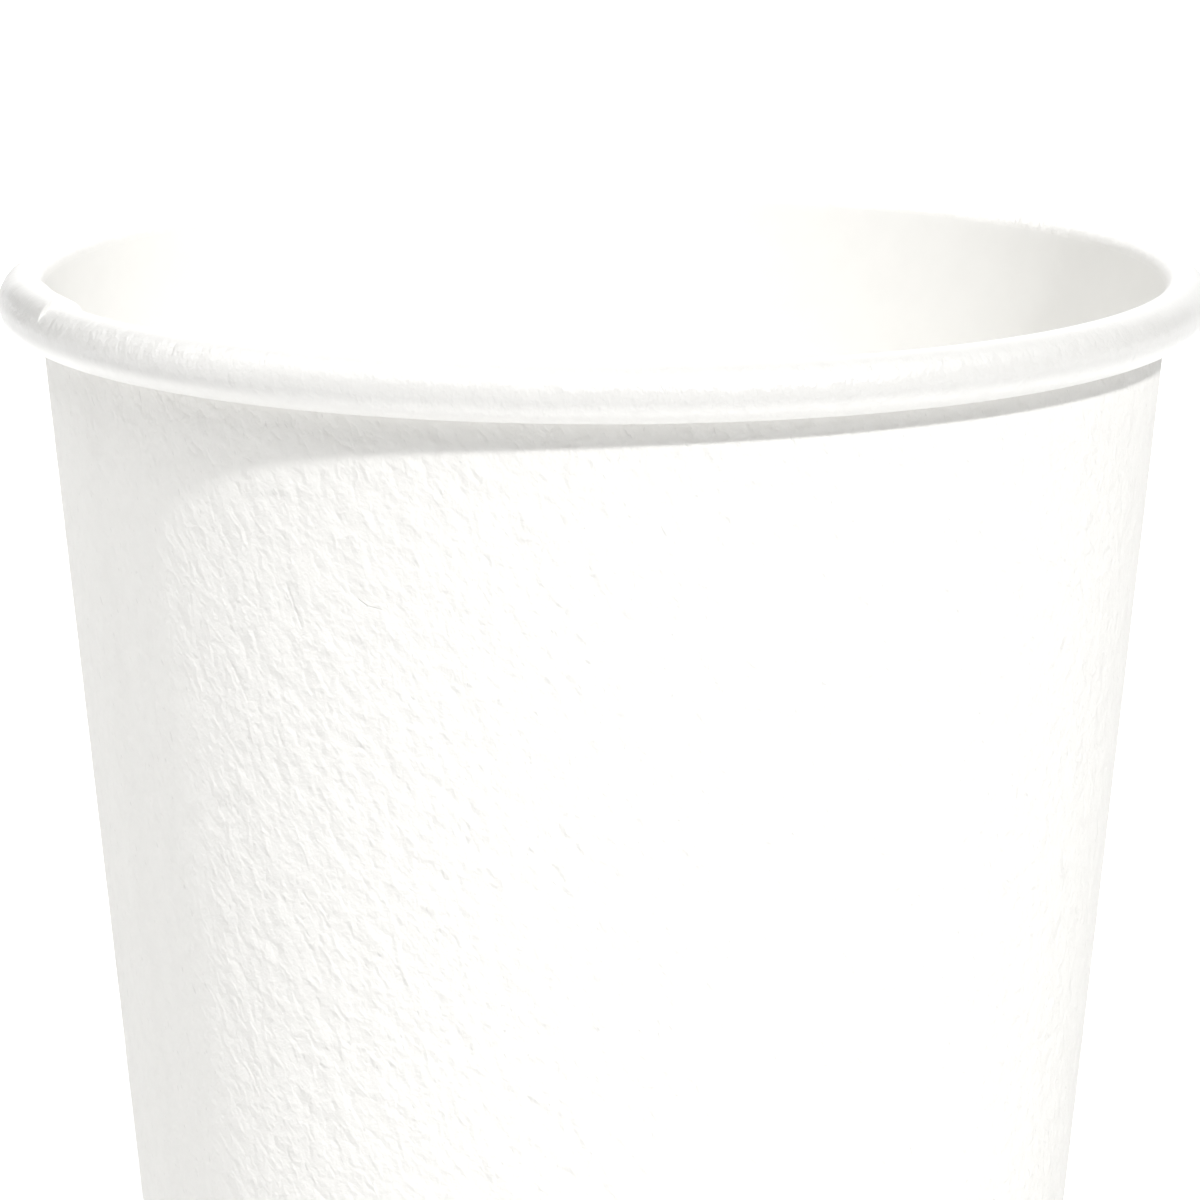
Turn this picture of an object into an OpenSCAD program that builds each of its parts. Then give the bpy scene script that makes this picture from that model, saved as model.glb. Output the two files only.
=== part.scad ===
// Single-wall paper cup with a rolled rim, in millimetres, +Z up.
// The origin is the centre of the plane that the cup stands on.
// A fan-shaped sheet is wrapped round and lapped at a side seam. Its upper edge is rolled outwards
// into the rim, and its lower edge is folded inwards and up round the skirt of a recessed bottom disc.
// Directions are degrees from +X towards +Y.

/* [Cup] */
// Outside diameter of the rolled rim
rim_d = 80; // [76:0.5:86]
// Height from the standing plane to the top of the rim
height = 92; // [70:1:120]
// Outside diameter of the wall at the standing plane
base_d = 57; // [50:0.5:62]
// Thickness of the wall's paperboard
wall_t = 0.38; // [0.3:0.01:0.44]

/* [Rim] */
// Height of the roll
roll_h = 3.75; // [3.5:0.05:3.9]
// How far the roll stands out beyond the wall
roll_out = 2.72; // [2.65:0.01:3]
// Gap between the wall and the underside of the roll
roll_gap = 0.05; // [0.03:0.01:0.1]
// How far the roll's end turns on inside it after it passes the wall, in degrees
tuck_turn = 75; // [30:5:100]

/* [Side seam] */
// Direction of the cut edge that shows on top of the rim
seam_at = 205; // [0:1:359]
// Turn of the lap round the cup, in degrees
lap_turn = 12; // [8:0.5:16]
// Turn over which a ply comes off the end of the one that it covers
ramp_turn = 5; // [4:0.5:8]
// How far down the outside of the roll the covering ply stands proud, in degrees from its top
proud_turn = 65; // [50:1:75]

/* [Bottom] */
// Thickness of the bottom disc's paperboard
disc_t = 0.3; // [0.24:0.01:0.4]
// Height of the recess under the bottom disc
recess_h = 7.5; // [7:0.25:12]
// Height of the wall's folded-in flap
flap_h = 6; // [3:0.25:6.5]
// Outside radius of the bend between the bottom disc and its skirt
bend_r = 0.8; // [0.6:0.05:1.2]
// Film of melted coating on each side of the skirt
film_t = 0.02; // [0.01:0.005:0.04]

/* [Hidden] */
$fn = 180;
paper_white = [0.97, 0.97, 0.96];
disc_white = [0.93, 0.93, 0.92];

rim_r = rim_d / 2;
roll_r = roll_h / 2;
roll_at = [rim_r - roll_r, height - roll_r];
// Outward run of the wall for each millimetre of height, and its lean
slope = (rim_r - roll_out - base_d / 2) / roll_at[1];
lean = atan(slope);
// Unit vector across the wall, from its outside face to its inside face
inward = [-cos(lean), sin(lean)];
// Unit vector up the wall
upward = [sin(lean), cos(lean)];
// Thickness of the wall measured level
level_t = wall_t / cos(lean);
// How deep a bend laps into the straight that it meets, and how far it turns on past it in degrees
blend = 0.003;
blend_turn = 15;

// Arc that turns the wall's inside face over to the top of the roll
top_r = fine(((roll_at[0] - face_r(0, wall_t)) * cos(lean) - height * sin(lean) + blend) / (1 - sin(lean)));
top_at = [roll_at[0], height - top_r];
// Where that arc ends, past the point where its outside has sunk into the wall
top_end = 180 - lean + (acos(1 - blend / top_r) + acos(1 - blend / (top_r - wall_t))) / 2;
// Arc that brings the roll back up beside the wall
under_z = height - roll_h;
under_r = fine(((roll_at[0] - face_r(0, 0)) * cos(lean) - under_z * sin(lean) - roll_gap) / (1 + sin(lean)));
under_at = [roll_at[0], under_z + under_r];

// Covering ply on top of the roll: the same turn one thickness further up the wall
proud_at = top_at + wall_t * [slope, 1];
proud_end = roll_at + roll_r * [sin(proud_turn), cos(proud_turn)];
proud_drop = height + wall_t - proud_end[1];
proud_run = proud_end[0] - proud_at[0];
shoulder_r = fine((proud_run * proud_run + proud_drop * proud_drop) / (2 * proud_drop));
shoulder_at = [proud_at[0], height + wall_t - shoulder_r];

// The skirt's pocket, as depths behind the wall's outside face
skirt_depth = wall_t + film_t;
pocket_depth = wall_t + disc_t + 2 * film_t;
flap_depth = pocket_depth + wall_t;
floor_z = recess_h + disc_t;
bend_z = floor_z - bend_r;
bend_at = on_face(bend_z, skirt_depth + bend_r - blend);

// Length to a tenth of a micrometre, so that two arcs meet at one point
function fine(length) = round(length * 10000) / 10000;
// Radius of the surface that lies a depth behind the wall's outside face, at a height
function face_r(z, depth) = base_d / 2 + slope * z - depth / cos(lean);
function on_face(z, depth) = [face_r(z, depth), z];

// Flat sector about the origin, out to a reach
module sector(reach, from, to) {
    steps = 8;
    turn = (to - from) / steps;
    polygon(concat([[0, 0]], [for (i = [0:steps]) reach * [cos(from + i * turn), sin(from + i * turn)]]));
}

// Bent stretch of a ply, outside radius r
module ply_arc(at, r, t, from, to) {
    translate(at) intersection() {
        difference() {
            circle(r);
            circle(r - t);
        }
        sector(2 * r, from, to);
    }
}

// Filled sector of a circle about a point
module pie(at, r, from, to) {
    translate(at) intersection() {
        circle(r);
        sector(2 * r, from, to);
    }
}

// Each outline turned round the cup's axis, or part of the way
module turned(turn = 360) {
    for (i = [0:$children - 1]) rotate_extrude(angle = turn) children(i);
}

// Rolled rim: over the top, down the outside, back up beside the wall and in
module rim_roll() {
    turned() {
        ply_arc(top_at, top_r, wall_t, 90, top_end);
        ply_arc(roll_at, roll_r, wall_t, -90, 90);
        ply_arc(under_at, under_r, wall_t, 180 - lean - tuck_turn, 270);
    }
}

// Wall with its lower edge folded in and up, the fold bent round the edge of the skirt's pocket
module folded_wall() {
    outer_bend = on_face(wall_t, wall_t - blend);
    inner_bend = on_face(wall_t, pocket_depth + blend);
    turned() {
        polygon([
            top_at + (top_r - blend - wall_t) * inward + wall_t / 2 * upward,
            outer_bend - (wall_t - blend) * inward,
            [outer_bend[0], 0],
            [inner_bend[0], 0],
            inner_bend + (wall_t - blend) * inward,
            on_face(flap_h, flap_depth),
            on_face(flap_h, pocket_depth),
            on_face(wall_t, pocket_depth),
            on_face(wall_t, wall_t),
            top_at + (top_r - blend) * inward
        ]);
        pie(outer_bend, wall_t, -90, blend_turn - lean);
        pie(inner_bend, wall_t, 180 - lean - blend_turn, 270);
    }
}

// Upright band between two depths and two heights, swept from one direction to another
module band(from, to, depth_a, depth_b, z_a, z_b) {
    rotate([0, 0, from]) rotate_extrude(angle = to - from)
        polygon([on_face(z_a, depth_a), on_face(z_b, depth_a), on_face(z_b, depth_b), on_face(z_a, depth_b)]);
}

// Solid cone set off centre, so that its face comes down by one thickness along the ramp
// from the end of the lap, to a depth
module ramp_core(depth, z_a, z_b) {
    middle = seam_at + ramp_turn / 2;
    offset_r = level_t / 2 / sin(ramp_turn / 2);
    radius_a = norm([face_r(z_a, depth) + level_t / 2, offset_r]);
    radius_b = norm([face_r(z_b, depth) + level_t / 2, offset_r]);
    translate(offset_r * [sin(middle), -cos(middle), 0])
        rotate_extrude() polygon([[0, z_a], [radius_a, z_a], [radius_b, z_b], [0, z_b]]);
}

// Outer ply of the lap on the wall, with its cut edge at one end and its ramp at the other
module outer_lap() {
    intersection() {
        band(seam_at - lap_turn, seam_at + 2 * ramp_turn, -wall_t, wall_t / 2, wall_t, under_at[1] - under_r / 2);
        ramp_core(0, 0, height);
    }
}

// Wedge of air inside the cup, beside the inner ply's cut edge
module inner_step() {
    intersection() {
        band(seam_at, seam_at + 2 * ramp_turn, 0, 3 * wall_t, floor_z + wall_t, top_at[1]);
        ramp_core(wall_t, 0, height);
    }
}

// Inner ply where it covers the outer one on top of the roll, swept through a turn
module rim_ply_on_top(turn) {
    reach = (top_r - blend) * inward;
    end_turn = atan((proud_end[1] - shoulder_at[1]) / proud_run);
    turned(turn) {
        difference() {
            pie(proud_at, top_r, 90, 180 - lean + blend_turn);
            translate(top_at) circle(top_r - wall_t / 2);
        }
        difference() {
            polygon([top_at, proud_at, proud_at + reach, top_at + reach]);
            translate(top_at) circle(top_r - wall_t / 2);
        }
        difference() {
            pie(shoulder_at, shoulder_r, end_turn - blend_turn, 90);
            translate(roll_at) circle(roll_r - wall_t / 2);
        }
    }
}

// Inner ply of the lap on the rim, with its cut edge at the seam. At the other end it sinks
// back into the roll, under a roll one thickness higher that is tilted along the rim.
module rim_lap() {
    ramp_from = seam_at - lap_turn;
    tilt = atan(wall_t / (rim_r * sin(ramp_turn)));
    intersection() {
        rotate([0, 0, ramp_from - 3 * ramp_turn]) rim_ply_on_top(lap_turn + 3 * ramp_turn);
        rotate([0, 0, ramp_from]) translate([0, 0, height + wall_t]) rotate([tilt, 0, 0])
            translate([0, 0, -height - wall_t]) rotate([0, 0, -4 * ramp_turn])
                rotate_extrude(angle = lap_turn + 5 * ramp_turn)
                    translate([proud_at[0], roll_at[1] + wall_t]) circle(roll_r);
    }
}

module sidewall() {
    color(paper_white) difference() {
        union() {
            folded_wall();
            rim_roll();
            outer_lap();
            rim_lap();
        }
        inner_step();
    }
}

// Round form with a flat top, a bent edge of radius r and a side along the wall, open to any depth
module skirted_form(depth, r, z_low) {
    turned() {
        polygon([
            [0, z_low],
            on_face(z_low, depth),
            bend_at - (r - blend) * inward,
            bend_at + [0, r],
            [0, bend_at[1] + r]
        ]);
        pie(bend_at, r, -lean - blend_turn, 90);
    }
}

module bottom_disc() {
    skirt_z = wall_t + film_t;
    color(disc_white) difference() {
        skirted_form(skirt_depth, bend_r, skirt_z);
        skirted_form(skirt_depth + disc_t, bend_r - disc_t, skirt_z - 1);
    }
}

sidewall();
bottom_disc();
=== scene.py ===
import math

import bpy
import numpy as np
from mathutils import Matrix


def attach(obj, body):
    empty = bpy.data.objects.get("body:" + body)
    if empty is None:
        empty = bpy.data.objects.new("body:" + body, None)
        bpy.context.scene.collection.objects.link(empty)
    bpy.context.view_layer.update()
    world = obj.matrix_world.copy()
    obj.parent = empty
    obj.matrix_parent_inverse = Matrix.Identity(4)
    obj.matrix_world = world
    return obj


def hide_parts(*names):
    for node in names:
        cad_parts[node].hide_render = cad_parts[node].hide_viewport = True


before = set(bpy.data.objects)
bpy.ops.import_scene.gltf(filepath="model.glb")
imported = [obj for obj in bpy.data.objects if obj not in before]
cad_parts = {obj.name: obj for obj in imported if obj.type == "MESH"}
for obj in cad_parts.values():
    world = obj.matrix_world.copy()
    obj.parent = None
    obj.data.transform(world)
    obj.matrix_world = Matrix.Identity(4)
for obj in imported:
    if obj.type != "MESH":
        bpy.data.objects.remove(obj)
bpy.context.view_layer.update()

MM = 0.001

# The cup's sizes in millimetres, as the frame has them
RIM_R, HEIGHT, BASE_R, WALL_T = 40.0, 92.0, 28.5, 0.38
ROLL_H, ROLL_OUT, ROLL_GAP, TUCK_TURN = 3.75, 2.72, 0.05, 75.0
SEAM_AT, LAP_TURN, RAMP_TURN, PROUD_TURN = 205.0, 12.0, 5.0, 65.0
DISC_T, RECESS_H, FLAP_H, FILM_T = 0.3, 7.5, 6.0, 0.02
LAP_AT = SEAM_AT - LAP_TURN
FLOOR_Z = RECESS_H + DISC_T
# Heights between which the outer ply's upper end sinks into the wall, under the roll
LAP_TOP = (88.6, 89.2)
# Heights between which the outer ply's lower end rises from the wall
LAP_LOW = (0.38, 0.44)
# Heights between which the step inside the cup starts, just above the bottom disc
STEP_LOW = (8.15, 8.25)
# Heights between which the plies change places inside the cup, and how far above the roll's
# lower arc they lie the same way as below
CROSSING = (84.0, 90.9)
UNDER_MARGIN = 0.3

# Lines that follow from them, as radius and height
ROLL_R = ROLL_H / 2
ROLL_AT = np.array([RIM_R - ROLL_R, HEIGHT - ROLL_R])
SLOPE = (RIM_R - ROLL_OUT - BASE_R) / ROLL_AT[1]
LEAN = math.atan(SLOPE)
COS, SIN = math.cos(LEAN), math.sin(LEAN)
INWARD = np.array([-COS, SIN])
POCKET_DEPTH = WALL_T + DISC_T + 2 * FILM_T
FLAP_DEPTH = POCKET_DEPTH + WALL_T

# How far the paper's relief goes into the sheet, in millimetres, and how deep its faces start
FELT_DEPTH = 0.034
RIM_DEPTH = 0.01
INSIDE_DEPTH = 0.004
SINK = 0.022
# Painted light on the roll: how much paler its colour is made on top, where the lamps above light
# it, and where it turns under, where the bright floor lights it, than on its outside; and between
# which places round the roll that changes, in degrees above level
PAINTED_LIGHT_GAIN = 1.3
PAINTED_LIGHT_ABOVE, PAINTED_LIGHT_BELOW = (115, 50), (-6, -36)
# Painted shade in the felt side's pits: how much darker its colour is made there
PIT_PAINTED_SHADE = 0.12
# Lie of the felt's streaks on the flat sheet: down to the right, as seen from outside
GRAIN = math.radians(-69)
# Lie of the fine wrinkles on the roll: nearly straight across it
WRINKLES = math.radians(84)
# Colours of the uncoated and the coated paper, and of the roll's outside: the same coated face,
# painted darker there as painted shade
FELT_WHITE = (0.866, 0.858, 0.833)
COATED_WHITE = (0.9, 0.894, 0.873)
ROLL_SHADED_WHITE = (0.71, 0.704, 0.686)
# Edges sharper than this aren't smoothed
SHARP_FROM = math.radians(40)

# Single marks in the felt side: a line on the flat sheet, its half width in millimetres and its
# depth in micrometres. The first two make one hooked fibre.
MARKS = [
    ([(32.55, 369.06), (33.06, 368.68)], 0.1, 55),
    ([(33.06, 368.68), (34.02, 368.42)], 0.07, 40),
    ([(27.37, 369.98), (28.10, 367.23)], 0.16, 30),
    ([(22.02, 364.27), (22.9, 362.15)], 0.2, 30),
]

# Key light: where it comes from and how wide it is, in degrees, and its power
KEY_AZ, KEY_EL, KEY_ANGLE, KEY_POWER = 302.6, 37.3, 3.6, 2.5
# Soft boxes: direction and elevation in degrees, distance and side in metres, and brightness
SOFT_BOXES = {
    "backdrop": (85, 11, 1.6, 1.8, 1.25),
    "soft_left": (190, 25, 1.6, 1.1, 1.12),
    "soft_above_left": (160, 60, 1.8, 1.2, 2.15),
    "soft_above_front": (250, 60, 1.8, 1.2, 3.1),
    "soft_right": (350, 55, 1.6, 1.1, 0.9),
}
# Glow of the horizon, and between which heights of the sky, as sines, it fades
HORIZON_GLOW = 0.12
GLOW_FADES = (0.095, 0.12)
# Painted light: glow of the floor behind the cup, which keeps the cup's shadow from showing there,
# and where it starts and is full, in metres
FLOOR_PAINTED_GLOW = 0.42
GLOW_FROM, GLOW_FULL = 0.05, 0.09
# Half the floor's side in metres, its colour, and how often light bounces
FLOOR_HALF = 4
FLOOR_WHITE = 0.87
BOUNCES = 9

# Camera, from the photograph's own perspective: millimetres and radians about the middle of the rim
LENS_PX, FRAME_PX, SENSOR = 6500.0, 1200.0, 36.0
EYE_DISTANCE, EYE_ELEVATION = 430.8, 0.1602
RIM_PX = (604.57, 293.1)


def face_r(z, depth):
    """Radius of the surface that lies a depth behind the wall's outside face."""
    return BASE_R + SLOPE * z - depth / COS


TOP_R = ((ROLL_AT[0] - face_r(0, WALL_T)) * COS - HEIGHT * SIN) / (1 - SIN)
TOP_AT = np.array([ROLL_AT[0], HEIGHT - TOP_R])
UNDER_Z = HEIGHT - ROLL_H
UNDER_R = ((ROLL_AT[0] - face_r(0, 0)) * COS - UNDER_Z * SIN - ROLL_GAP) / (1 + SIN)
UNDER_AT = np.array([ROLL_AT[0], UNDER_Z + UNDER_R])
PROUD_AT = TOP_AT + WALL_T * np.array([SLOPE, 1.0])
PROUD_WAY = np.array([math.sin(math.radians(PROUD_TURN)), math.cos(math.radians(PROUD_TURN))])
PROUD_END = ROLL_AT + ROLL_R * PROUD_WAY
PROUD_DROP = HEIGHT + WALL_T - PROUD_END[1]
PROUD_RUN = PROUD_END[0] - PROUD_AT[0]
SHOULDER_R = (PROUD_RUN**2 + PROUD_DROP**2) / (2 * PROUD_DROP)
SHOULDER_AT = np.array([PROUD_AT[0], HEIGHT + WALL_T - SHOULDER_R])


def smooth(low, high, x):
    """Rises smoothly from 0 at low to 1 at high."""
    t = np.clip((x - low) / (high - low), 0.0, 1.0)
    return t * t * (3 - 2 * t)


def noise(seed, x, y):
    """Smooth noise from 0 to 1 over a lattice of unit squares."""
    size = 256
    table = np.random.default_rng(seed).random((size, size))
    xi, yi = np.floor(x).astype(int), np.floor(y).astype(int)
    xf, yf = smooth(0, 1, x - xi), smooth(0, 1, y - yi)
    x0, x1, y0, y1 = xi % size, (xi + 1) % size, yi % size, (yi + 1) % size
    low = table[x0, y0] * (1 - xf) + table[x1, y0] * xf
    high = table[x0, y1] * (1 - xf) + table[x1, y1] * xf
    return low * (1 - yf) + high * yf


def arc_rows(at, r, start, end, count, side, tag):
    """Rows along an arc: point, direction into the air and tag.

    side is 1 where the air is on the arc's outside and -1 where it is on its inside.
    """
    turns = np.radians(np.linspace(start, end, count))
    ways = [np.array([math.cos(a), math.sin(a)]) for a in turns]
    return [(at + r * way, side * way, tag) for way in ways]


def wall_rows(heights, depth, into_air, tag):
    """Rows along the wall at a depth behind its outside face."""
    return [(np.array([face_r(z, depth), z]), into_air, tag) for z in heights]


def sheet_rows():
    """The sheet's section as closed rows: up the inside, round the roll and down the outside."""
    lean = math.degrees(LEAN)
    tuck = 180 - lean - TUCK_TURN
    tangent_in = TOP_AT[1] + TOP_R * SIN
    tangent_out = TOP_AT[1] + (TOP_R - WALL_T) * SIN
    outer_bend = np.array([face_r(WALL_T, WALL_T), WALL_T])
    inner_bend = np.array([face_r(WALL_T, POCKET_DEPTH), WALL_T])
    inside = [WALL_T, 4.0, FLOOR_Z - 0.1, FLOOR_Z + 0.1, *STEP_LOW]
    inside += [*np.linspace(10.0, CROSSING[0], 30), *np.linspace(85.5, tangent_in, 8)[:-1]]
    outside = [*np.linspace(tangent_out, 88.0, 8)[1:], *np.arange(87.5, 34.0, -0.52)]
    outside += [*np.arange(33.5, 2.0, -1.1), 1.2, 0.7, LAP_LOW[1], 0.40]
    rows = wall_rows(inside, WALL_T, INWARD, "inside")
    rows += arc_rows(TOP_AT, TOP_R, 180 - lean, 90, 9, 1, "rim")[:-1]
    rows += arc_rows(ROLL_AT, ROLL_R, 90, -90, 30, 1, "rim")[:-1]
    rows += arc_rows(UNDER_AT, UNDER_R, 270, tuck, 11, 1, "rim")
    rows += arc_rows(UNDER_AT, UNDER_R - WALL_T, tuck, 270, 5, -1, "hidden")[:-1]
    rows += arc_rows(ROLL_AT, ROLL_R - WALL_T, -90, 90, 6, -1, "hidden")[:-1]
    rows += arc_rows(TOP_AT, TOP_R - WALL_T, 90, 180 - lean, 4, -1, "hidden")
    rows += wall_rows(outside, 0.0, -INWARD, "outside")
    rows += arc_rows(outer_bend, WALL_T, -lean, -90, 5, 1, "fold")
    rows += arc_rows(inner_bend, WALL_T, 270, 180 - lean, 5, 1, "fold")
    rows += wall_rows([2.2, FLAP_H], FLAP_DEPTH, INWARD, "fold")
    rows += wall_rows([FLAP_H, WALL_T], POCKET_DEPTH, -INWARD, "hidden")
    return rows


def sheet_turns():
    """Directions of the columns, in degrees, from the outer ply's cut edge once round.

    They are closest where the camera sees the relief.
    """
    step = 0.03
    parts = [
        np.linspace(LAP_AT + step, SEAM_AT - step, 26),
        np.linspace(SEAM_AT + step, SEAM_AT + RAMP_TURN, 13),
        np.arange(SEAM_AT + RAMP_TURN + 0.4, 262.0, 0.42),
        np.arange(262.2, 352.0, 0.72),
        np.arange(353.0, LAP_AT + 360 - 6, 3.0),
        np.linspace(LAP_AT + 360 - 5.5, LAP_AT + 360 - step, 8),
    ]
    return np.concatenate(parts)


def lap_offset(point, into_air, tag, turn):
    """How far the side seam lifts the surface at a row, for each column."""
    z = point[1]
    ramp = 1 - smooth(SEAM_AT, SEAM_AT + RAMP_TURN, turn)
    lapped = turn < SEAM_AT
    if tag == "outside":
        here = smooth(*LAP_LOW, z) * (1 - smooth(*LAP_TOP, z))
        return WALL_T * here * np.where(lapped, 1.0, ramp)
    rising = smooth(LAP_AT + 360 - RAMP_TURN, LAP_AT + 360, turn)
    raised = np.where(lapped, 1.0, np.where(turn > SEAM_AT + 180, rising, 0.0))
    if tag == "inside":
        crossing = smooth(*CROSSING, z)
        here = smooth(*STEP_LOW, z) * (1 - crossing)
        return WALL_T * (raised * crossing - np.where(lapped, 0.0, ramp) * here)
    below_ply = z < PROUD_END[1] and into_air[0] > 0
    if tag != "rim" or below_ply or z < UNDER_AT[1] + UNDER_R + UNDER_MARGIN:
        return 0 * turn
    if into_air[0] <= 0:
        return WALL_T * raised
    return raised * max(shoulder_lift(into_air), 0.0)


def shoulder_lift(into_air):
    """Height of the covering ply over the roll, along a direction from the roll's middle."""
    gap = ROLL_AT - SHOULDER_AT
    along = gap @ into_air
    return -along + math.sqrt(along**2 - gap @ gap + SHOULDER_R**2) - ROLL_R


def sheet_runs(rows):
    """Distance of each row along the flat sheet from the point of its cone."""
    points = np.array([r[0] for r in rows])
    steps = np.linalg.norm(np.diff(points, axis=0), axis=1)
    runs = points[0, 0] / SIN + np.concatenate([[0.0], np.cumsum(steps)])
    for i, row in enumerate(rows):
        if row[2] in ("outside", "fold", "hidden"):
            runs[i] = points[i, 0] / SIN
    return runs


def roll_runs(*angles):
    """Distances along the flat sheet of places round the roll, in degrees above level."""
    rows = sheet_rows()
    roll = [(row[1], run) for row, run in zip(rows, sheet_runs(rows)) if row[2] == "rim"]
    turns = -np.degrees(np.unwrap([math.atan2(away[1], away[0]) for away, run in roll]))
    return [float(np.interp(-angle, turns, [run for away, run in roll])) for angle in angles]


def relief(tag, x, y):
    """How deep the paper's own relief lies, from the flat sheet's coordinates in millimetres.

    The lengths that divide them are the sizes of its features.
    """
    along = x * math.cos(GRAIN) + y * math.sin(GRAIN)
    across = -x * math.sin(GRAIN) + y * math.cos(GRAIN)
    drift = 0.5 * noise(5, along / 4.0, across / 3.0)
    coarse = noise(1, along / 1.9, across / 0.85 + drift)
    fine = noise(2, along / 1.0 + 40, across / 0.62)
    felt = coarse * 0.5 + fine * 0.5
    broad = noise(3, along / 9.0, across / 6.0)
    if tag == "outside":
        return SINK + FELT_DEPTH * (0.75 * felt + 0.25 * broad)
    if tag == "rim":
        return SINK + RIM_DEPTH * (0.6 * noise(4, x / 0.8, y / 0.9) + 0.4 * broad)
    if tag == "inside":
        return SINK + INSIDE_DEPTH * broad
    return 0 * x


def flat_sheet(run, turned):
    """Coordinates on the flat fan, in millimetres, of a place so many degrees from its end."""
    fan = np.radians(turned) * SIN
    return np.stack([run * np.sin(fan), run * np.cos(fan)], axis=-1)


def sheet_mesh():
    """The sheet as one closed mesh: its corners, faces, flat-sheet coordinates and materials."""
    rows, turns = sheet_rows(), sheet_turns()
    runs = sheet_runs(rows)
    n_rows, n_cols = len(rows), len(turns)
    place = np.zeros((n_rows, n_cols, 3))
    near, far = np.zeros((n_rows, n_cols, 2)), np.zeros((n_rows, n_cols, 2))
    angle, widths = np.radians(turns), np.diff(turns, append=turns[0] + 360)
    for i, (point, into_air, tag) in enumerate(rows):
        turned = (turns - (LAP_AT if tag in ("outside", "fold", "hidden") else SEAM_AT)) % 360
        near[i], far[i] = flat_sheet(runs[i], turned), flat_sheet(runs[i], turned + widths)
        lift = lap_offset(point, into_air, tag, turns) - relief(tag, near[i, :, 0], near[i, :, 1])
        r, z = point[0] + lift * into_air[0], point[1] + lift * into_air[1]
        place[i] = np.stack([r * np.cos(angle), r * np.sin(angle), z], axis=-1)
    i, j = np.meshgrid(np.arange(n_rows), np.arange(n_cols), indexing="ij")
    i1, j1 = (i + 1) % n_rows, (j + 1) % n_cols
    corners = [i * n_cols + j, i1 * n_cols + j, i1 * n_cols + j1, i * n_cols + j1]
    quads = np.stack(corners, axis=-1).reshape(-1, 4)
    uv = np.stack([near[i, j], near[i1, j], far[i1, j], far[i, j]], axis=2).reshape(-1, 2)
    kinds = np.repeat([{"inside": 1, "rim": 2}.get(row[2], 0) for row in rows], n_cols)
    return place.reshape(-1, 3) * MM, quads, uv, kinds


def make_mesh(name, places, quads, uv, kinds):
    """A shown piece from its corners, faces, flat-sheet coordinates and material numbers."""
    mesh = bpy.data.meshes.new(name)
    mesh.vertices.add(len(places))
    mesh.vertices.foreach_set("co", places.ravel())
    mesh.loops.add(quads.size)
    mesh.loops.foreach_set("vertex_index", quads.ravel())
    mesh.polygons.add(len(quads))
    mesh.polygons.foreach_set("loop_start", np.arange(len(quads)) * 4)
    mesh.update(calc_edges=True)
    mesh.uv_layers.new(name="flat_sheet").data.foreach_set("uv", uv.ravel())
    mesh.polygons.foreach_set("material_index", kinds)
    mesh.shade_smooth()
    mesh.set_sharp_from_angle(angle=SHARP_FROM)
    piece = bpy.data.objects.new(name, mesh)
    bpy.context.collection.objects.link(piece)
    return piece


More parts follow.
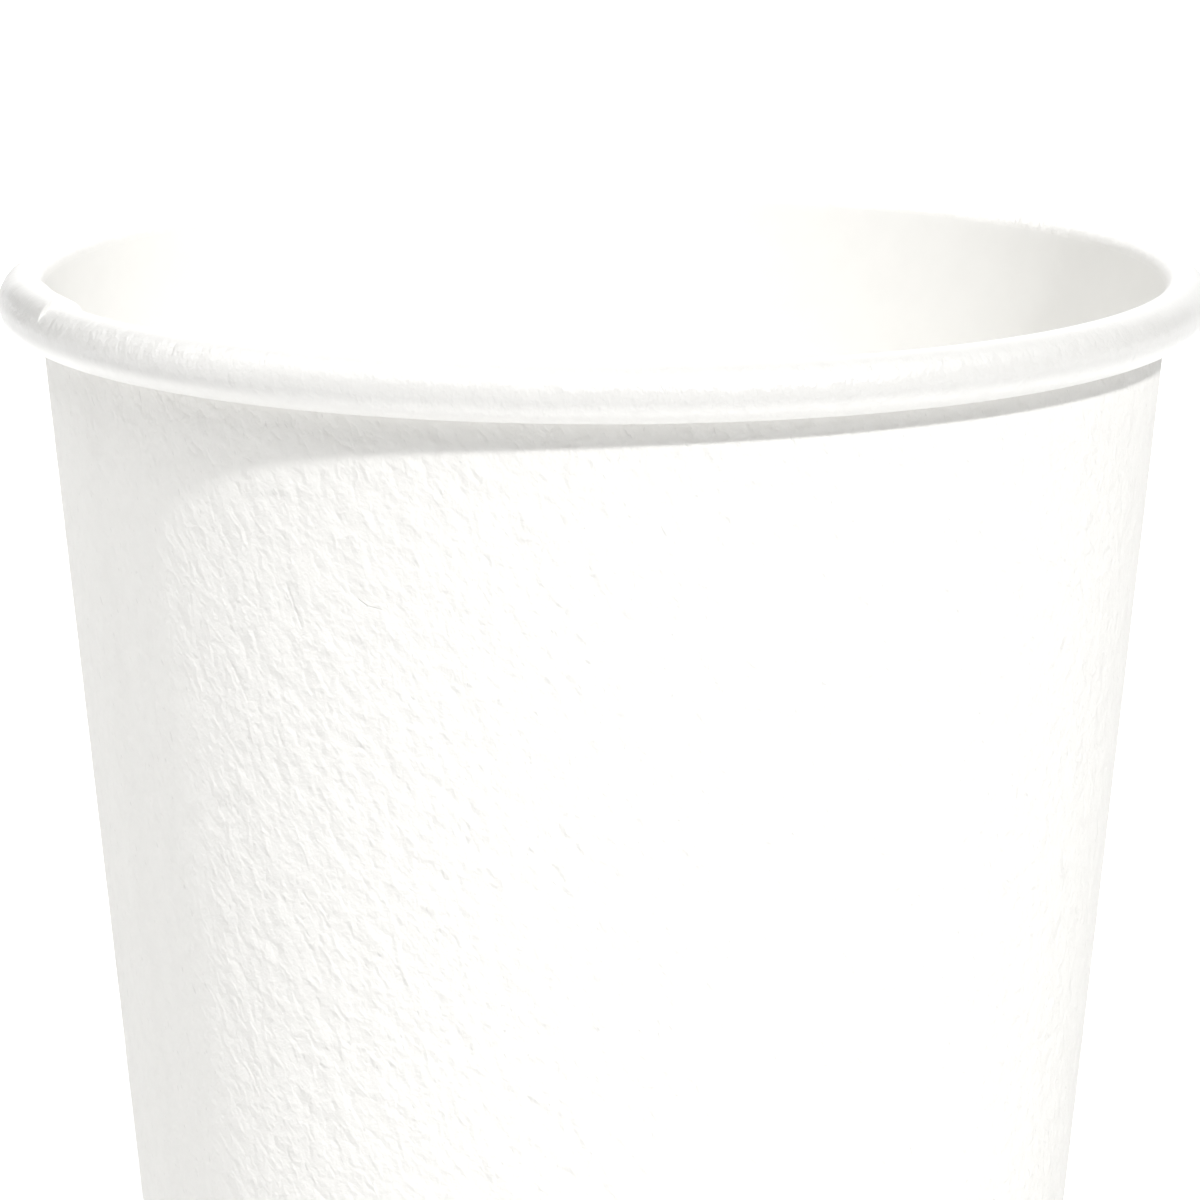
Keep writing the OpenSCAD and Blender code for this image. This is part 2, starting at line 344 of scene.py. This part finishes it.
class Paper:
    """A paper material: layers of noise over the flat sheet that give its relief and its tone, and
    painted light and painted shade where they are set.
    """

    def __init__(self, name, colour, roughness, gloss, grain, on_sheet=True):
        self.material = bpy.data.materials.new(name)
        self.material.use_nodes = True
        self.tree = self.material.node_tree
        self.shader = self.tree.nodes["Principled BSDF"]
        self.shader.inputs["Specular IOR Level"].default_value = gloss
        self.colour, self.roughness = colour, roughness
        if on_sheet:
            place = self.add("ShaderNodeUVMap")
            place.uv_map = "flat_sheet"
            self.place = place.outputs["UV"]
        else:
            place = self.add("ShaderNodeTexCoord")
            in_mm = self.add("ShaderNodeMapping")
            in_mm.inputs["Scale"].default_value = (1 / MM, 1 / MM, 1 / MM)
            self.join(place.outputs["Object"], in_mm.inputs["Vector"])
            self.place = in_mm.outputs["Vector"]
        turn = self.add("ShaderNodeMapping")
        turn.inputs["Rotation"].default_value = (0, 0, -grain)
        self.join(self.place, turn.inputs["Vector"])
        self.turned = turn.outputs["Vector"]
        self.height = None
        # Masks of painted light on the roll and of painted shade in the felt's pits, where they are
        # set
        self.painted_light_mask = None
        self.pits = None

    def add(self, kind):
        """A new node of a kind."""
        return self.tree.nodes.new(kind)

    def join(self, output, socket):
        """Links a node's output to a socket."""
        self.tree.links.new(output, socket)

    def sum(self, a, b, share):
        """a + share * b, or share * b alone where a is None."""
        node = self.add("ShaderNodeMath")
        node.operation = "MULTIPLY_ADD"
        self.join(b, node.inputs[0])
        node.inputs[1].default_value = share
        if a is None:
            node.inputs[2].default_value = 0.0
        else:
            self.join(a, node.inputs[2])
        return node.outputs[0]

    def noise(self, long, wide, detail, rough, shift=0.0, bent=0.0):
        """Noise with features so long and wide, in millimetres, bent by so much of their size."""
        stretch = self.add("ShaderNodeMapping")
        stretch.inputs["Scale"].default_value = (1 / long, 1 / wide, 1 / wide)
        stretch.inputs["Location"].default_value = (shift, shift, 0)
        self.join(self.turned, stretch.inputs["Vector"])
        node = self.add("ShaderNodeTexNoise")
        node.inputs["Scale"].default_value = 1.0
        node.inputs["Detail"].default_value = detail
        node.inputs["Roughness"].default_value = rough
        node.inputs["Distortion"].default_value = bent
        self.join(stretch.outputs["Vector"], node.inputs["Vector"])
        return node.outputs["Fac"]

    def spread(self, value, low, high, to_low, to_high):
        """Takes a value between low and high to another range, with smooth ends."""
        node = self.add("ShaderNodeMapRange")
        node.interpolation_type = "SMOOTHSTEP"
        ends = {"From Min": low, "From Max": high, "To Min": to_low, "To Max": to_high}
        for name, number in ends.items():
            node.inputs[name].default_value = number
        self.join(value, node.inputs["Value"])
        return node.outputs["Result"]

    def line_distance(self, start, end):
        """Distance from a straight line between two places on the flat sheet."""
        along = [b - a for a, b in zip(start, end)]
        square = along[0] ** 2 + along[1] ** 2
        steps = []
        for operation in ("SUBTRACT", "DOT_PRODUCT", "SCALE", "DISTANCE"):
            node = self.add("ShaderNodeVectorMath")
            node.operation = operation
            steps.append(node)
        away, share, foot, gap = steps
        self.join(self.place, away.inputs[0])
        away.inputs[1].default_value = (*start, 0)
        self.join(away.outputs["Vector"], share.inputs[0])
        share.inputs[1].default_value = (along[0] / square, along[1] / square, 0)
        foot.inputs[0].default_value = (*along, 0)
        within = self.add("ShaderNodeClamp")
        self.join(share.outputs["Value"], within.inputs["Value"])
        self.join(within.outputs["Result"], foot.inputs["Scale"])
        self.join(away.outputs["Vector"], gap.inputs[0])
        self.join(foot.outputs["Vector"], gap.inputs[1])
        return gap.outputs["Value"]

    def mark(self, line, half_width, micrometres):
        """Presses a line into the relief."""
        for start, end in zip(line, line[1:]):
            pressed = self.spread(self.line_distance(start, end), 0.0, half_width, 1.0, 0.0)
            self.relief(pressed, -micrometres)

    def relief(self, value, micrometres):
        """Adds a layer of relief: how high it stands, in micrometres."""
        self.height = self.sum(self.height, value, micrometres)

    def painted_light_colour(self):
        """The paper's colour, made paler as painted light where the mask of painted light is 1."""
        mix = self.add("ShaderNodeMix")
        mix.data_type = "RGBA"
        mix.inputs["A"].default_value = (*self.colour, 1)
        mix.inputs["B"].default_value = (*[PAINTED_LIGHT_GAIN * c for c in self.colour], 1)
        self.join(self.painted_light_mask, mix.inputs["Factor"])
        return mix.outputs["Result"]

    def finish(self, speck, tone):
        """Joins the relief, the mottled colour with any painted light and painted shade, and the
        roughness to the shader.
        """
        bump = self.add("ShaderNodeBump")
        bump.inputs["Distance"].default_value = MM / 1000
        self.join(self.height, bump.inputs["Height"])
        self.join(bump.outputs["Normal"], self.shader.inputs["Normal"])
        mottle = self.noise(speck, speck, 4.0, 0.6, 7.0)
        tint = self.add("ShaderNodeMix")
        tint.data_type = "RGBA"
        tint.blend_type = "MULTIPLY"
        tint.inputs["Factor"].default_value = 1.0
        tint.inputs["A"].default_value = (*self.colour, 1)
        # Painted light: the roll's colour made paler on top and where it turns under
        if self.painted_light_mask is not None:
            self.join(self.painted_light_colour(), tint.inputs["A"])
        mottle_and_pit_shade = self.spread(mottle, 0.3, 0.7, tone, 1.0)
        # Painted shade: the felt's colour darkened in its pits; the rest is the paper's own mottled
        # tone
        if self.pits is not None:
            mottle_and_pit_shade = self.sum(mottle_and_pit_shade, self.pits, -PIT_PAINTED_SHADE)
        self.join(mottle_and_pit_shade, tint.inputs["B"])
        self.join(tint.outputs["Result"], self.shader.inputs["Base Color"])
        wear = self.spread(mottle, 0.2, 0.8, self.roughness - 0.06, self.roughness + 0.06)
        self.join(wear, self.shader.inputs["Roughness"])
        return self.material


def outside_paper():
    """Uncoated board: felt streaks, a fine grain, shallow pits darkened with painted shade, and a
    few fibres pressed into it.
    """
    paper = Paper("paper_outside", FELT_WHITE, 0.88, 0.25, GRAIN)
    paper.relief(paper.noise(2.5, 1.6, 0.0, 0.5, 17.0, 0.3), 150)
    paper.relief(paper.noise(1.3, 0.95, 1.0, 0.5, 0.0, 0.5), 165)
    paper.relief(paper.noise(0.5, 0.46, 2.0, 0.5, 5.0, 0.4), 78)
    paper.relief(paper.noise(0.23, 0.21, 1.0, 0.5, 3.0), 20)
    pits = paper.spread(paper.noise(0.8, 0.3, 2.0, 0.5, 11.0, 0.5), 0.65, 0.78, 0.0, 1.0)
    paper.relief(pits, -7)
    # The pit mask also sets where painted shade darkens the felt's colour
    paper.pits = pits
    for line, half_width, depth in MARKS:
        paper.mark(line, half_width, depth)
    return paper.finish(1.5, 0.98)


def inside_paper():
    """Coated face inside the cup."""
    paper = Paper("paper_inside", COATED_WHITE, 0.5, 0.4, GRAIN)
    paper.relief(paper.noise(1.6, 0.8, 2.0, 0.5), 8)
    paper.relief(paper.noise(0.25, 0.2, 1.0, 0.5, 3.0), 1.5)
    return paper.finish(2.5, 0.985)


def rim_paper():
    """The same face on the roll, where the bend drew it into fine wrinkles across the rim.

    Its colour is painted darker on the roll's outside as painted shade, and paler on top and where
    it turns under as painted light from the lamps above and the bright floor below; the places go
    by the distance from the point of the sheet's cone.
    """
    # The roll's colour is the coated face painted darker as painted shade
    paper = Paper("paper_rim", ROLL_SHADED_WHITE, 0.36, 0.8, WRINKLES)
    paper.relief(paper.noise(0.36, 0.26, 1.0, 0.5, 0.0, 0.5), 42)
    paper.relief(paper.noise(0.18, 0.14, 1.0, 0.5, 5.0), 8)
    paper.relief(paper.noise(1.6, 1.1, 2.0, 0.5, 9.0, 0.3), 130)
    from_point = paper.add("ShaderNodeVectorMath")
    from_point.operation = "LENGTH"
    paper.join(paper.place, from_point.inputs[0])
    run = from_point.outputs["Value"]
    # Painted light: where the roll's colour is made paler, on top and where it turns under
    above = paper.spread(run, *roll_runs(*PAINTED_LIGHT_ABOVE), 1.0, 0.0)
    below = paper.spread(run, *roll_runs(*PAINTED_LIGHT_BELOW), 0.0, 1.0)
    paper.painted_light_mask = paper.sum(above, below, 1.0)
    return paper.finish(1.2, 0.98)


def disc_paper():
    """The bottom disc's coated board."""
    paper = Paper("paper_disc", FELT_WHITE, 0.55, 0.4, 0.0, on_sheet=False)
    paper.relief(paper.noise(2.2, 0.9, 3.0, 0.55), 14)
    paper.relief(paper.noise(0.2, 0.16, 2.0, 0.5, 3.0), 3)
    return paper.finish(2.0, 0.98)


def make_floor():
    """A plain pale floor that glows a little behind the cup as painted light, so that it stays
    white there and the cup's shadow doesn't show.
    """
    mesh = bpy.data.meshes.new("floor")
    half = FLOOR_HALF
    corners = [(-half, -half, 0), (half, -half, 0), (half, half, 0), (-half, half, 0)]
    mesh.from_pydata(corners, [], [(0, 1, 2, 3)])
    floor = bpy.data.objects.new("floor", mesh)
    bpy.context.collection.objects.link(floor)
    material = bpy.data.materials.new("floor_pale")
    material.use_nodes = True
    shader = material.node_tree.nodes["Principled BSDF"]
    shader.inputs["Base Color"].default_value = (FLOOR_WHITE, FLOOR_WHITE, FLOOR_WHITE, 1)
    shader.inputs["Roughness"].default_value = 0.9
    shader.inputs["Specular IOR Level"].default_value = 0.0
    shader.inputs["Emission Color"].default_value = (1, 1, 1, 1)
    nodes, links = material.node_tree.nodes, material.node_tree.links
    place = nodes.new("ShaderNodeTexCoord")
    parts = nodes.new("ShaderNodeSeparateXYZ")
    # Painted light: the floor glows behind the cup, over the cup's shadow
    glow = nodes.new("ShaderNodeMapRange")
    glow.interpolation_type = "SMOOTHSTEP"
    ends = {"From Min": GLOW_FROM, "From Max": GLOW_FULL, "To Max": FLOOR_PAINTED_GLOW}
    for name, number in ends.items():
        glow.inputs[name].default_value = number
    links.new(place.outputs["Object"], parts.inputs["Vector"])
    links.new(parts.outputs["Y"], glow.inputs["Value"])
    links.new(glow.outputs["Result"], shader.inputs["Emission Strength"])
    mesh.materials.append(material)


def make_sky():
    """A world that is white in a band round the horizon, and dark above it, where the lamps are."""
    world = bpy.data.worlds.new("studio")
    bpy.context.scene.world = world
    world.use_nodes = True
    nodes, links = world.node_tree.nodes, world.node_tree.links
    sky = nodes["Background"]
    sky.inputs["Color"].default_value = (1, 1, 1, 1)
    direction = nodes.new("ShaderNodeTexCoord")
    parts = nodes.new("ShaderNodeSeparateXYZ")
    height = nodes.new("ShaderNodeMath")
    height.operation = "ABSOLUTE"
    band = nodes.new("ShaderNodeMapRange")
    low, high = GLOW_FADES
    ends = {"From Min": low, "From Max": high, "To Min": HORIZON_GLOW, "To Max": 0.0}
    for name, number in ends.items():
        band.inputs[name].default_value = number
    links.new(direction.outputs["Generated"], parts.inputs["Vector"])
    links.new(parts.outputs["Z"], height.inputs[0])
    links.new(height.outputs[0], band.inputs["Value"])
    links.new(band.outputs["Result"], sky.inputs["Strength"])


def aim_lamp(name, lamp, az, el, distance):
    """Sets a lamp in a direction from the cup, in degrees, facing it."""
    holder = bpy.data.objects.new(name, lamp)
    turn, rise = math.radians(az), math.radians(el)
    level = distance * math.cos(rise)
    holder.location = (level * math.cos(turn), level * math.sin(turn), distance * math.sin(rise))
    holder.rotation_euler = (math.radians(90 - el), 0, turn + math.radians(90))
    holder.visible_camera = False
    bpy.context.collection.objects.link(holder)


def make_light():
    """A key light and soft boxes, which the camera doesn't see, under the sky."""
    make_sky()
    key = bpy.data.lights.new("key", "SUN")
    key.energy = KEY_POWER
    key.angle = math.radians(KEY_ANGLE)
    aim_lamp("key", key, KEY_AZ, KEY_EL, 1.0)
    for name, (az, el, distance, side, brightness) in SOFT_BOXES.items():
        lamp = bpy.data.lights.new(name, "AREA")
        lamp.size = side
        lamp.energy = brightness * math.pi * side**2
        aim_lamp(name, lamp, az, el, distance)


def make_camera():
    """The photograph's camera, turned so that the middle of the rim is at RIM_PX in its frame."""
    rise = math.atan((FRAME_PX / 2 - RIM_PX[1]) / LENS_PX)
    lens = bpy.data.cameras.new("camera")
    lens.sensor_width = SENSOR
    lens.lens = LENS_PX / FRAME_PX * SENSOR
    lens.clip_start, lens.clip_end = 0.01, 50.0
    camera = bpy.data.objects.new("camera", lens)
    back, up = EYE_DISTANCE * math.cos(EYE_ELEVATION), EYE_DISTANCE * math.sin(EYE_ELEVATION)
    camera.location = (0, -back * MM, (ROLL_AT[1] + up) * MM)
    pan = math.atan((RIM_PX[0] - FRAME_PX / 2) / LENS_PX)
    camera.rotation_euler = (math.pi / 2 - EYE_ELEVATION - rise, 0, pan)
    bpy.context.collection.objects.link(camera)
    bpy.context.scene.camera = camera


def make_cup():
    """The sheet, in the place of its solid, and the bottom disc's own material."""
    sheet = make_mesh("cup_sheet", *sheet_mesh())
    for material in (outside_paper(), inside_paper(), rim_paper()):
        sheet.data.materials.append(material)
    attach(sheet, "root")
    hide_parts("sidewall")
    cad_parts["bottom_disc"].material_slots[0].material = disc_paper()


def main():
    """Makes everything and sets how the light is worked out."""
    make_cup()
    make_floor()
    make_light()
    make_camera()
    scene = bpy.context.scene
    scene.view_settings.view_transform = "Standard"
    scene.cycles.max_bounces = BOUNCES
    scene.cycles.diffuse_bounces = BOUNCES


main()
